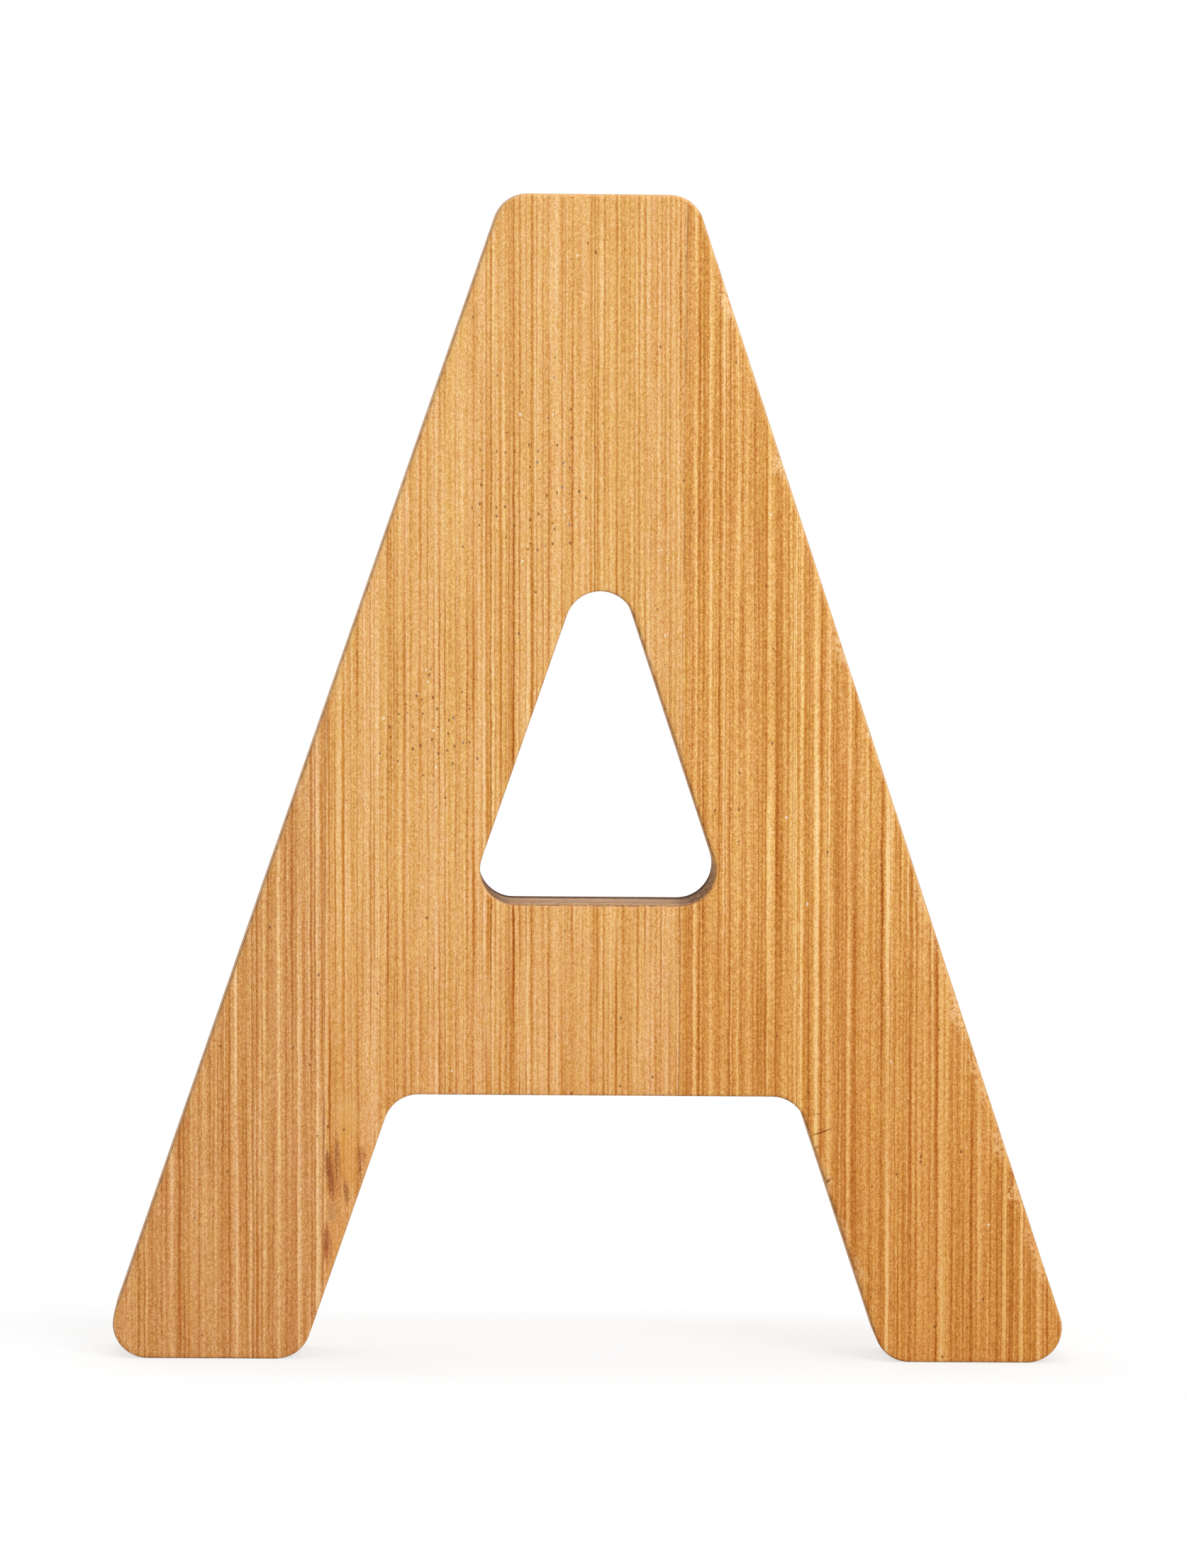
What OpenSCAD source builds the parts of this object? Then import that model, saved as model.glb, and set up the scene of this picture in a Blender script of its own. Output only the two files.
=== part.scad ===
// Flat capital letter A, cut from three-ply bamboo board, that stands on its two feet.
// X runs across the letter, Z runs up from the floor and the front faces -Y. Sizes are in millimetres.
// The two face plies have upright strips and the core ply has level ones, all glued edge to edge.

/* [Letter] */
// Height of the letter
letter_h = 60; // [50:1:80]
// Width across the feet, between their sharp outer corners
foot_span = 50.4; // [46:0.1:60]
// Width of the flat top, between its sharp corners
apex_w = 9.75; // [8:0.05:14]
// Width of a leg, measured along the floor
leg_w = 10.15; // [8:0.05:12]
// How far the cut-outs lie to the right of the middle, which makes the left leg the wider one
cutout_shift = 0.25; // [-1:0.05:1]

/* [Crossbar] */
// Height of the bar's underside above the floor
bar_z = 13.75; // [12:0.05:18]
// Height of the bar
bar_h = 9.85; // [7:0.05:13]
// How far each side of the counter stands in from the line of the leg's inner edge
counter_inset = 0.3; // [0:0.05:1]

/* [Edges] */
// Radius of the outer corners
corner_r = 1.8; // [1:0.1:2.4]
// Radius that the cutter leaves in the inner corners
cutter_r = 1.8; // [1:0.1:2.2]
// Width that sanding takes off each edge of the front and the back
sanding_w = 0.35; // [0.1:0.05:0.6]
// How much more sanding takes off at the corners
corner_sanding = 0.03; // [0.01:0.01:0.1]
// Angle at which the sanded curve meets the face and the wall
sanding_angle = 16; // [8:1:25]

/* [Board] */
// Thickness of the front ply, and of the back ply
face_ply_t = 1.5; // [1:0.1:3]
// Thickness of the core ply
core_ply_t = 2; // [1:0.1:4]
// Width of one bamboo strip
strip_w = 18.2; // [16:0.2:20]
// Place of the front ply's right seam, from the middle of the letter
front_seam_x = 4.5; // [2:0.1:8]
// Place of the back ply's left seam, from the middle of the letter
back_seam_x = -4.6; // [-8:0.1:-2]
// Height of the core ply's lowest seam
core_seam_z = 11; // [8:0.1:12]

/* [Hidden] */
$fn = 96;

// How far the cutting shapes reach past the board
spare = 0.5;
// How far the sanding of a corner runs on into the straight edges, in degrees
corner_lap = 2;
// How far the outer edges lean in for each millimetre of height
lean = (foot_span - apex_w) / 2 / letter_h;
sill_z = bar_z + bar_h;
counter_half_w = gap_half_w(sill_z) - counter_inset;
counter_top_z = sill_z + counter_half_w / lean;

front_left_seam_x = front_seam_x - strip_w;
back_right_seam_x = back_seam_x + strip_w;
core_seams_z = [for (i = [0 : 2]) core_seam_z + i * strip_w];

pale_bamboo = [0.88, 0.68, 0.43];
amber_bamboo = [0.82, 0.59, 0.33];
honey_bamboo = [0.85, 0.63, 0.38];
core_bamboo = [0.76, 0.63, 0.51];

// Half the width between the legs' inner edges at a height
function gap_half_w(z) = foot_span / 2 - leg_w - lean * z;

// Sharp corners of the outline and of the counter, each as x, z and corner radius
outline = [
    [-foot_span / 2, 0, corner_r],
    [cutout_shift - gap_half_w(0), 0, corner_r],
    [cutout_shift - gap_half_w(bar_z), bar_z, cutter_r],
    [cutout_shift + gap_half_w(bar_z), bar_z, cutter_r],
    [cutout_shift + gap_half_w(0), 0, corner_r],
    [foot_span / 2, 0, corner_r],
    [apex_w / 2, letter_h, corner_r],
    [-apex_w / 2, letter_h, corner_r]
];
counter = [
    [cutout_shift - counter_half_w, sill_z, cutter_r],
    [cutout_shift + counter_half_w, sill_z, cutter_r],
    [cutout_shift, counter_top_z, cutter_r]
];

// Geometry of one rounded corner of a loop
function point(loop, i) = [loop[i].x, loop[i].y];
function radius(loop, i) = loop[i].z;
function following(loop, i) = (i + 1) % len(loop);
function preceding(loop, i) = (i + len(loop) - 1) % len(loop);
function heading(from, to) = (to - from) / norm(to - from);
function ahead(loop, i) = heading(point(loop, i), point(loop, following(loop, i)));
function behind(loop, i) = heading(point(loop, i), point(loop, preceding(loop, i)));
function half_angle(loop, i) = acos(ahead(loop, i) * behind(loop, i)) / 2;
function setback(loop, i) = radius(loop, i) / tan(half_angle(loop, i));
function arc_start(loop, i) = point(loop, i) + behind(loop, i) * setback(loop, i);
function arc_end(loop, i) = point(loop, i) + ahead(loop, i) * setback(loop, i);
function arc_centre(loop, i) = point(loop, i)
    + heading([0, 0], ahead(loop, i) + behind(loop, i)) * radius(loop, i) / sin(half_angle(loop, i));
// 1 at an outward corner of a loop and -1 at an inward one
function turn(loop, i) = sign(cross(ahead(loop, i), behind(loop, i)));

// Discs that round the outward corners, or hollow the inward ones
module corner_discs(loop, which) {
    for (i = [0 : len(loop) - 1])
        if (turn(loop, i) == which)
            translate(arc_centre(loop, i)) circle(radius(loop, i));
}

// Flat shape inside a loop, with its corners rounded
module rounded(loop) {
    difference() {
        union() {
            polygon([for (i = [0 : len(loop) - 1]) each [arc_start(loop, i), arc_end(loop, i)]]);
            corner_discs(loop, 1);
        }
        corner_discs(loop, -1);
    }
}

// Flat shape of the letter between two corners of a rectangle
module letter_between(low, high) {
    intersection() {
        difference() {
            rounded(outline);
            rounded(counter);
        }
        translate(low) square(high - low);
    }
}

// Section of the wood that sanding takes off to a width: the wall at x = 0 and the face at y = 0
module sanded_section(width) {
    curve_r = width / (cos(sanding_angle) - sin(sanding_angle));
    reach = curve_r * cos(sanding_angle);
    over = spare + width;
    difference() {
        translate([-over, -reach]) square(reach + over);
        translate([reach, -reach]) circle(curve_r);
    }
}

// Wood taken off along the straight run after a corner; side is 1 where the letter lies inside the loop
module sanded_run(loop, i, side) {
    from = arc_end(loop, i);
    run = arc_start(loop, following(loop, i)) - from;
    translate(from)
        rotate(atan2(run.y, run.x))
            rotate([90, 0, 90])
                linear_extrude(norm(run))
                    mirror([side < 0 ? 1 : 0, 0]) sanded_section(sanding_w);
}

// Wood taken off around one corner
module sanded_corner(loop, i, side) {
    first = turn(loop, i) > 0 ? arc_start(loop, i) : arc_end(loop, i);
    from = first - arc_centre(loop, i);
    translate(arc_centre(loop, i))
        rotate(atan2(from.y, from.x) - corner_lap)
            rotate_extrude(angle = 180 - 2 * half_angle(loop, i) + 2 * corner_lap)
                translate([radius(loop, i), 0])
                    mirror([turn(loop, i) * side > 0 ? 1 : 0, 0])
                        sanded_section(sanding_w + corner_sanding);
}

// Wood taken off all round a loop, at a face at z = 0
module sanding(loop, side) {
    for (i = [0 : len(loop) - 1]) {
        sanded_run(loop, i, side);
        sanded_corner(loop, i, side);
    }
}

// Strip of a face ply between two seams, lying on its glued face with its sanded face up
module face_strip(from_x, to_x) {
    difference() {
        linear_extrude(face_ply_t)
            letter_between([from_x, -spare], [to_x, letter_h + spare]);
        translate([0, 0, face_ply_t]) sanding(outline, 1);
        translate([0, 0, face_ply_t]) sanding(counter, -1);
    }
}

// Stand a flat piece upright, with its top towards the front
module stand_up() {
    rotate([90, 0, 0]) children();
}

module front_strip(from_x, to_x) {
    stand_up() translate([0, 0, core_ply_t / 2]) face_strip(from_x, to_x);
}

module back_strip(from_x, to_x) {
    mirror([0, 1, 0]) front_strip(from_x, to_x);
}

module core_strip(low, high) {
    stand_up() linear_extrude(core_ply_t, center = true) letter_between(low, high);
}

module front_strip_left() {
    color(honey_bamboo) front_strip(-foot_span, front_left_seam_x);
}

module front_strip_middle() {
    color(pale_bamboo) front_strip(front_left_seam_x, front_seam_x);
}

module front_strip_right() {
    color(amber_bamboo) front_strip(front_seam_x, foot_span);
}

module core_foot_left() {
    color(core_bamboo) core_strip([-foot_span, -spare], [cutout_shift, core_seams_z[0]]);
}

module core_foot_right() {
    color(core_bamboo) core_strip([cutout_shift, -spare], [foot_span, core_seams_z[0]]);
}

module core_bar() {
    color(core_bamboo) core_strip([-foot_span, core_seams_z[0]], [foot_span, core_seams_z[1]]);
}

module core_shoulder() {
    color(core_bamboo) core_strip([-foot_span, core_seams_z[1]], [foot_span, core_seams_z[2]]);
}

module core_apex() {
    color(core_bamboo) core_strip([-foot_span, core_seams_z[2]], [foot_span, letter_h + spare]);
}

module back_strip_left() {
    color(amber_bamboo) back_strip(-foot_span, back_seam_x);
}

module back_strip_middle() {
    color(honey_bamboo) back_strip(back_seam_x, back_right_seam_x);
}

module back_strip_right() {
    color(pale_bamboo) back_strip(back_right_seam_x, foot_span);
}

front_strip_left();
front_strip_middle();
front_strip_right();
core_foot_left();
core_foot_right();
core_bar();
core_shoulder();
core_apex();
back_strip_left();
back_strip_middle();
back_strip_right();
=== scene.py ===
import math
import random
from dataclasses import dataclass

import bmesh
import bpy
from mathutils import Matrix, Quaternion, Vector, noise


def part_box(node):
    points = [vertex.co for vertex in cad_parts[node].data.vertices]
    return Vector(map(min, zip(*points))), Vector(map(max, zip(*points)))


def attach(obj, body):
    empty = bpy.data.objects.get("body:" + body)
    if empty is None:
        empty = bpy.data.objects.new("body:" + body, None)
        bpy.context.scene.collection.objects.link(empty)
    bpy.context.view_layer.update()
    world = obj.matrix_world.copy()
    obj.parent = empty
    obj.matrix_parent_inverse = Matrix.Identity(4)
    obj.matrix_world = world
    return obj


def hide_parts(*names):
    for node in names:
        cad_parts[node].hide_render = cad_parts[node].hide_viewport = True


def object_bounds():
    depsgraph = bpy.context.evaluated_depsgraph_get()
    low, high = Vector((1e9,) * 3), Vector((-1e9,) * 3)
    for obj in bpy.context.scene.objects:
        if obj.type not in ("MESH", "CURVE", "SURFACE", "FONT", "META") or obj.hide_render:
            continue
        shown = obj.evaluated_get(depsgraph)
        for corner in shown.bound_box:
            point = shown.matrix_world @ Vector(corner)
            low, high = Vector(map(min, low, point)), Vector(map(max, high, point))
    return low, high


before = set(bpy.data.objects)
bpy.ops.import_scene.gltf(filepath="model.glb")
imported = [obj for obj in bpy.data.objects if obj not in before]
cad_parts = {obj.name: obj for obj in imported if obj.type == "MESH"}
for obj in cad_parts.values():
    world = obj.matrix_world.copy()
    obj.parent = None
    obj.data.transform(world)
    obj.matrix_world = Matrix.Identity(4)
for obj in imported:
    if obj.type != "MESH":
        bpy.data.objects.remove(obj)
cad_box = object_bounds()

# Units and names
MM = 0.001
BODY = "root"
FRONT = ("front_strip_left", "front_strip_middle", "front_strip_right")
BACK = ("back_strip_left", "back_strip_middle", "back_strip_right")
CORE = ("core_foot_left", "core_foot_right", "core_bar", "core_shoulder", "core_apex")

# Sizes of the frame, in metres
LETTER_H = cad_box[1].z
FRONT_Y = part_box(FRONT[1])[0].y
FRONT_GLUE_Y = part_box(FRONT[1])[1].y
BACK_GLUE_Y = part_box(BACK[1])[0].y
BACK_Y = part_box(BACK[1])[1].y

# Fineness of the worn meshes: lengths in metres, steps over the edge, and the angle of a sharp edge
SAME_PLACE = 0.002 * MM
CUT_PRECISION = SAME_PLACE / 10
OUTLINE_STEP = 0.12 * MM
FLAT_MARGIN = 0.12 * MM
PROFILE_STEPS = 6
SHARP_ANGLE = math.radians(35)

# Wear: the sanded width, and the extra width at which an edge is fully torn, in metres
SANDED_W = 0.22 * MM
TORN_W = 0.25 * MM
# Lengths along the edge over which wear drifts, frays and crumbles, in millimetres
DRIFT_LENGTH = 4
FRAY_LENGTH = 0.5
CRUMBLE_LENGTH = 0.3
# Shares by which they change the sanded width and depth, and the width of a chip
WIDTH_DRIFT = 0.25
WIDTH_FRAY = 0.12
DEPTH_DRIFT = 0.2
DEPTH_FRAY = 0.1
CHIP_FRAY = 0.7
CHIP_CRUMBLE = 0.6
# Depth of a chip as a share of its width, and how much crumbling changes it
CHIP_DEPTH = 0.4
CHIP_DEPTH_CRUMBLE = 0.5
# Chips along the front edges, each as x, z, reach along the edge and extra width, in millimetres
FRONT_CHIPS = (
    (6.6, 54.6, 0.9, 0.25),
    (9.4, 46.3, 0.5, 0.30),
    (12.5, 37.0, 0.9, 0.20),
    (16.9, 24.0, 0.8, 0.20),
    (17.6, 22.0, 0.6, 0.22),
    (18.1, 20.5, 0.5, 0.20),
    (18.8, 18.2, 1.2, 0.38),
    (19.7, 15.6, 0.6, 0.28),
    (20.2, 14.2, 0.9, 0.22),
    (21.2, 11.3, 0.8, 0.38),
    (22.1, 8.8, 0.7, 0.32),
    (22.9, 6.3, 0.8, 0.32),
    (23.3, 4.9, 0.7, 0.28),
    (11.9, 9.2, 0.4, 0.32),
    (12.6, 6.9, 0.8, 0.22),
    (13.4, 4.6, 0.9, 0.26),
)


def srgb(red, green, blue):
    """Colour for a shader from 0 to 255 display values."""
    def linear(value):
        share = value / 255
        if share <= 0.04045:
            return share / 12.92
        return ((share + 0.055) / 1.055) ** 2.4
    return (linear(red), linear(green), linear(blue), 1)


# Geometry: worn face plies, cut into strips
def glued_outline(strips, glue_y):
    """Closed loops of (x, z) round a face ply, from the outer edges of its strips' glued faces."""
    seams = [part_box(name)[0].x for name in strips[1:]]
    outline = bmesh.new()
    for name in strips:
        strip = bmesh.new()
        strip.from_mesh(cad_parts[name].data)
        bmesh.ops.remove_doubles(strip, verts=strip.verts, dist=SAME_PLACE)
        glued = {
            face for face in strip.faces
            if all(abs(vert.co.y - glue_y) < SAME_PLACE for vert in face.verts)
        }
        for edge in strip.edges:
            ends = [vert.co for vert in edge.verts]
            on_seam = any(all(abs(co.x - seam) < SAME_PLACE for co in ends) for seam in seams)
            borders = sum(face in glued for face in edge.link_faces) == 1
            if borders and not on_seam:
                outline.edges.new([outline.verts.new(co) for co in ends])
        strip.free()
    bmesh.ops.remove_doubles(outline, verts=outline.verts, dist=SAME_PLACE)
    loops = walk_loops(outline)
    outline.free()
    return loops


def walk_loops(outline):
    """Points of each closed loop of edges, in order."""
    loops = []
    seen = set()
    for start in outline.verts:
        if start in seen:
            continue
        points = []
        vert = start
        came_by = None
        while vert not in seen:
            seen.add(vert)
            points.append((vert.co.x, vert.co.z))
            came_by = next(edge for edge in vert.link_edges if edge is not came_by)
            vert = came_by.other_vert(vert)
        loops.append(points)
    return loops


def signed_area(points):
    """Area inside a loop, above zero where it runs counter-clockwise."""
    return sum(a[0] * b[1] - b[0] * a[1] for a, b in zip(points, points[1:] + points[:1])) / 2


def even_loop(points, runs_ccw):
    """The loop with evenly spaced points, and the direction into the wood at each."""
    if (signed_area(points) > 0) != runs_ccw:
        points = points[::-1]
    corners = [Vector(point) for point in points + points[:1]]
    lengths = [(b - a).length for a, b in zip(corners, corners[1:])]
    count = round(sum(lengths) / OUTLINE_STEP)
    step = sum(lengths) / count
    even = []
    behind = 0
    index = 0
    for i in range(count):
        while i * step > behind + lengths[index]:
            behind += lengths[index]
            index += 1
        even.append(corners[index].lerp(corners[index + 1], (i * step - behind) / lengths[index]))
    inward = []
    for i in range(count):
        along = (even[(i + 1) % count] - even[i - 1]).normalized()
        inward.append(Vector((-along.y, along.x)))
    return even, inward


def chip_at(point, chips):
    """How much of the edge is chipped away at a place: extra width in metres."""
    extra = 0
    for x, z, reach, width in chips:
        distance = (point - Vector((x * MM, z * MM))).length / (reach * MM)
        extra += width * MM * math.exp(-distance * distance)
    return extra


def worn_edge(point, seed, chips):
    """Width and depth that wear has taken off the edge at a place, and how torn it is from 0 to 1."""
    place = Vector((point.x, point.y, seed)) / MM
    drift = noise.noise(place / DRIFT_LENGTH)
    fray = noise.noise(place / FRAY_LENGTH)
    crumble = noise.noise(place / CRUMBLE_LENGTH)
    chip = chip_at(point, chips)
    width = SANDED_W * (1 + WIDTH_DRIFT * drift + WIDTH_FRAY * fray)
    width += chip * (1 + CHIP_FRAY * fray + CHIP_CRUMBLE * crumble)
    depth = SANDED_W * (1 + DEPTH_DRIFT * drift - DEPTH_FRAY * fray)
    depth += chip * (CHIP_DEPTH - CHIP_DEPTH_CRUMBLE * crumble)
    return width, depth, min(1, chip / TORN_W)


def edge_rings(ply, even, inward, wear, face_y, glue_y):
    """Rings of vertices round a loop of a ply: from its glued face over the worn edge to its flat face."""
    outwards = math.copysign(1, face_y - glue_y)
    torn_layer = ply.verts.layers.float["torn"]
    rings = [[ply.verts.new((point.x, glue_y, point.y)) for point in even]]
    for step in range(PROFILE_STEPS + 1):
        angle = math.pi / 2 * step / PROFILE_STEPS
        ring = []
        for point, normal, (width, depth, torn) in zip(even, inward, wear):
            place = point + normal * width * (1 - math.cos(angle))
            y = face_y - outwards * depth * (1 - math.sin(angle))
            vert = ply.verts.new((place.x, y, place.y))
            vert[torn_layer] = torn
            ring.append(vert)
        rings.append(ring)
    margin = []
    for point, normal, (width, _, _) in zip(even, inward, wear):
        place = point + normal * (width + FLAT_MARGIN)
        margin.append(ply.verts.new((place.x, face_y, place.y)))
    rings.append(margin)
    return rings


def worn_ply(strips, face_y, glue_y, seed, chips):
    """Closed mesh of a whole face ply, with worn edges round its face."""
    ply = bmesh.new()
    ply.verts.layers.float.new("torn")
    glued_rims = []
    face_rims = []
    loops = sorted(glued_outline(strips, glue_y), key=lambda points: -abs(signed_area(points)))
    for number, points in enumerate(loops):
        is_outer_loop = number == 0
        even, inward = even_loop(points, is_outer_loop)
        wear = [worn_edge(point, seed, chips) for point in even]
        rings = edge_rings(ply, even, inward, wear, face_y, glue_y)
        for low, high in zip(rings, rings[1:]):
            for i in range(len(even)):
                ply.faces.new((low[i - 1], low[i], high[i], high[i - 1]))
        glued_rims.append(rings[0])
        face_rims.append(rings[-1])
    fill_flat(ply, glued_rims)
    fill_flat(ply, face_rims)
    bmesh.ops.recalc_face_normals(ply, faces=ply.faces)
    return ply


def fill_flat(ply, rims):
    """Flat faces between an outer rim and the rims inside it."""
    edges = [ply.edges.get(pair) for rim in rims for pair in zip(rim, rim[1:] + rim[:1])]
    bmesh.ops.triangle_fill(ply, edges=edges, use_beauty=True)


def cut_strip(ply, low_x, high_x):
    """The part of a ply between two seams, closed where it is cut."""
    strip = ply.copy()
    for seam, side in ((low_x, "clear_inner"), (high_x, "clear_outer")):
        everything = strip.verts[:] + strip.edges[:] + strip.faces[:]
        cut = bmesh.ops.bisect_plane(
            strip, geom=everything, dist=CUT_PRECISION,
            plane_co=(seam, 0, 0), plane_no=(1, 0, 0), **{side: True},
        )
        edges = [part for part in cut["geom_cut"] if isinstance(part, bmesh.types.BMEdge)]
        if edges:
            bmesh.ops.holes_fill(strip, edges=edges, sides=0)
    bmesh.ops.recalc_face_normals(strip, faces=strip.faces)
    return strip


def place_strip(node, strip, material):
    """Puts a worn strip in the place of its CAD node."""
    mesh = bpy.data.meshes.new(node + "_worn")
    strip.to_mesh(mesh)
    strip.free()
    mesh.shade_smooth()
    mesh.set_sharp_from_angle(angle=SHARP_ANGLE)
    mesh.materials.append(material)
    piece = bpy.data.objects.new(node + "_worn", mesh)
    bpy.context.scene.collection.objects.link(piece)
    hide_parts(node)
    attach(piece, BODY)


def place_ply(strips, face_y, glue_y, seed, chips, materials):
    """Puts the worn strips of a face ply in the places of its CAD nodes."""
    ply = worn_ply(strips, face_y, glue_y, seed, chips)
    for node, material in zip(strips, materials):
        low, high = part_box(node)
        place_strip(node, cut_strip(ply, low.x, high.x), material)
    ply.free()


# Materials: nodes
BLACK = (0, 0, 0, 1)
WHITE = (1, 1, 1, 1)


class Shader:
    """Node tree of one material, with short calls for the nodes used here."""

    # Sockets of a mix node that are for colours
    MIX_SHARE = 0
    MIX_FIRST = 6
    MIX_SECOND = 7
    MIX_RESULT = 2
    # Share of a dot's radius that is solid
    DOT_MIDDLE = 0.5

    def __init__(self, name):
        self.material = bpy.data.materials.new(name)
        self.material.use_nodes = True
        self.tree = self.material.node_tree
        self.tree.nodes.clear()

    def add(self, kind, inputs=None, **settings):
        """New node with these settings, its inputs linked to sockets or set to values."""
        node = self.tree.nodes.new(kind)
        for key, value in settings.items():
            setattr(node, key, value)
        for key, value in (inputs or {}).items():
            if isinstance(value, bpy.types.NodeSocket):
                self.tree.links.new(value, node.inputs[key])
            else:
                node.inputs[key].default_value = value
        return node

    def math(self, operation, *values):
        return self.add("ShaderNodeMath", dict(enumerate(values)), operation=operation).outputs[0]

    def absolute(self, value):
        return self.math("ABSOLUTE", value)

    def largest(self, first, second):
        return self.math("MAXIMUM", first, second)

    def total(self, *values):
        result = values[0]
        for value in values[1:]:
            result = self.math("ADD", result, value)
        return result

    def product(self, *values):
        result = values[0]
        for value in values[1:]:
            result = self.math("MULTIPLY", result, value)
        return result

    def weighted(self, *pairs):
        """Each value times its weight."""
        return [self.product(value, weight) for value, weight in pairs]

    def remap(self, value, low, high, to_low=0.0, to_high=1.0):
        """Value from low to high, eased to the range from to_low to to_high and clamped there."""
        inputs = {"Value": value, "From Min": low, "From Max": high, "To Min": to_low, "To Max": to_high}
        return self.add("ShaderNodeMapRange", inputs, interpolation_type="SMOOTHSTEP").outputs[0]

    def fall(self, value, low, high):
        """1 up to low, easing to 0 at high."""
        return self.remap(value, low, high, 1.0, 0.0)

    def vector(self, x, y, z):
        return self.add("ShaderNodeCombineXYZ", {0: x, 1: y, 2: z}).outputs[0]

    def split(self, vector):
        return self.add("ShaderNodeSeparateXYZ", {0: vector}).outputs

    def vector_math(self, operation, *values):
        return self.add("ShaderNodeVectorMath", dict(enumerate(values)), operation=operation).outputs

    def scaled(self, vector, factors):
        return self.vector_math("MULTIPLY", vector, factors)[0]

    def noise(self, place, per_unit=1.0, octaves=1):
        """Noise about zero, mostly within a quarter of it, with equal octaves."""
        inputs = {"Vector": place, "Scale": per_unit, "Detail": octaves - 1, "Roughness": 1.0}
        return self.math("SUBTRACT", self.add("ShaderNodeTexNoise", inputs).outputs[0], 0.5)

    def cells(self, place):
        """Random cells over the first two axes of a place."""
        inputs = {"Vector": place, "Scale": 1.0}
        return self.add("ShaderNodeTexVoronoi", inputs, voronoi_dimensions="2D").outputs

    def dots(self, cell, size, radii):
        """1 inside a dot in each cell, easing to 0 at its rim; a size from 0 to 1 sets its radius."""
        rim = self.remap(size, 0.0, 1.0, *radii)
        return self.fall(cell["Distance"], self.product(rim, self.DOT_MIDDLE), rim)

    def blend(self, share, first, second, mode="MIX"):
        inputs = {self.MIX_SHARE: share, self.MIX_FIRST: first, self.MIX_SECOND: second}
        node = self.add("ShaderNodeMix", inputs, data_type="RGBA", blend_type=mode)
        return node.outputs[self.MIX_RESULT]

    def tinted(self, share, colour, tint):
        """Colour multiplied by a tint, by this share."""
        return self.blend(share, colour, tint, "MULTIPLY")

    def ramp(self, value, stops):
        """Colour of a value between stops, each a position and a colour."""
        node = self.add("ShaderNodeValToRGB", {0: value})
        elements = node.color_ramp.elements
        elements[0].position, elements[0].color = stops[0]
        elements[-1].position, elements[-1].color = stops[-1]
        for position, colour in stops[1:-1]:
            elements.new(position).color = colour
        return node.outputs[0]


# Tones of bamboo, from its dark fibre lines through its common colour to its pale streaks
PALE = (
    (0.0, srgb(164, 88, 26)), (0.1, srgb(190, 117, 44)), (0.34, srgb(214, 155, 82)),
    (0.5, srgb(227, 173, 104)), (0.66, srgb(237, 189, 126)), (1.0, srgb(253, 224, 178)),
)
HONEY = (
    (0.0, srgb(152, 80, 26)), (0.1, srgb(176, 105, 42)), (0.34, srgb(200, 137, 72)),
    (0.5, srgb(213, 155, 92)), (0.66, srgb(225, 172, 113)), (1.0, srgb(250, 214, 163)),
)
AMBER = (
    (0.0, srgb(158, 78, 16)), (0.1, srgb(183, 107, 36)), (0.34, srgb(206, 141, 65)),
    (0.5, srgb(220, 160, 88)), (0.66, srgb(237, 183, 110)), (1.0, srgb(255, 223, 168)),
)
CORE_EDGE = (
    (0.0, srgb(120, 88, 64)), (0.34, srgb(166, 133, 107)), (0.5, srgb(188, 156, 130)),
    (0.66, srgb(202, 172, 146)), (1.0, srgb(224, 197, 172)),
)
# Tints of neighbouring fibres and of the lines between them
YELLOWISH = (0.975, 0.98, 0.81, 1)
PINKISH = (0.985, 0.95, 0.98, 1)
WIDE_LINE = (0.80, 0.60, 0.32, 1)
THIN_LINE = (0.74, 0.56, 0.38, 1)
# Colours of the cut walls of each ply, and tints of what shows on them
FRONT_WALL = srgb(238, 197, 156)
CORE_WALL = srgb(240, 202, 162)
BACK_WALL = srgb(226, 187, 148)
WALL_BUNDLE = (0.62, 0.46, 0.34, 1)
WALL_GLUE = (0.5, 0.38, 0.3, 1)
END_GRAIN = (0.84, 0.9, 1.0, 1)
SANDING_LINE = (0.84, 0.8, 0.76, 1)
SAW_MARK = (0.7, 0.64, 0.6, 1)
# Painted shade: on edges that face left or down, and in the counter's lower corners
PAINTED_SHADE = (0.42, 0.36, 0.32, 1)
# Painted shade along the back edge of the counter's sill
SILL_SHADE = (0.22, 0.16, 0.13, 1)
# Colours of the painted highlight on edges, and of worn edges, seams and marks
# Painted highlight on edges that face right, or up high on the letter
RIM_HIGHLIGHT = srgb(243, 200, 146)
TORN = srgb(245, 206, 154)
# Painted shade between the torn fibres of a chip
TORN_SHADE = srgb(164, 96, 50)
GLUE = srgb(150, 98, 56)
STAIN = srgb(148, 84, 40)
RED_STAIN = srgb(176, 94, 42)
GREY_STAIN = srgb(192, 150, 100)
GOLDEN = srgb(226, 166, 70)
SCUFF = srgb(240, 200, 134)
CRACK = srgb(150, 84, 34)
PORE = srgb(126, 76, 44)
DUST = srgb(250, 236, 214)
# Painted shade in the counter's lower corners, on its wall, each as x, z and reach, in millimetres
SHADED_CORNERS = ((5.6, 24.4, 1.9), (-5.2, 24.3, 1.5))
# Width of the painted shade along the back edge of the counter's sill, how softly it starts, and the
# heights where it ends
SILL_SHADE_W = 0.9
SILL_SHADE_BLUR = 0.5
SILL_SHADE_TOP = (25, 27)
# Heights between which upward-facing edges turn from painted shade to painted highlight, in millimetres
RIM_HIGHLIGHT_TOP = (30, 40)
# Height up to which the lower end of the strips is a little darker and redder, partly the bamboo's own
# colour and partly painted shade, in millimetres
LOW_END_TOP = 36


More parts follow.
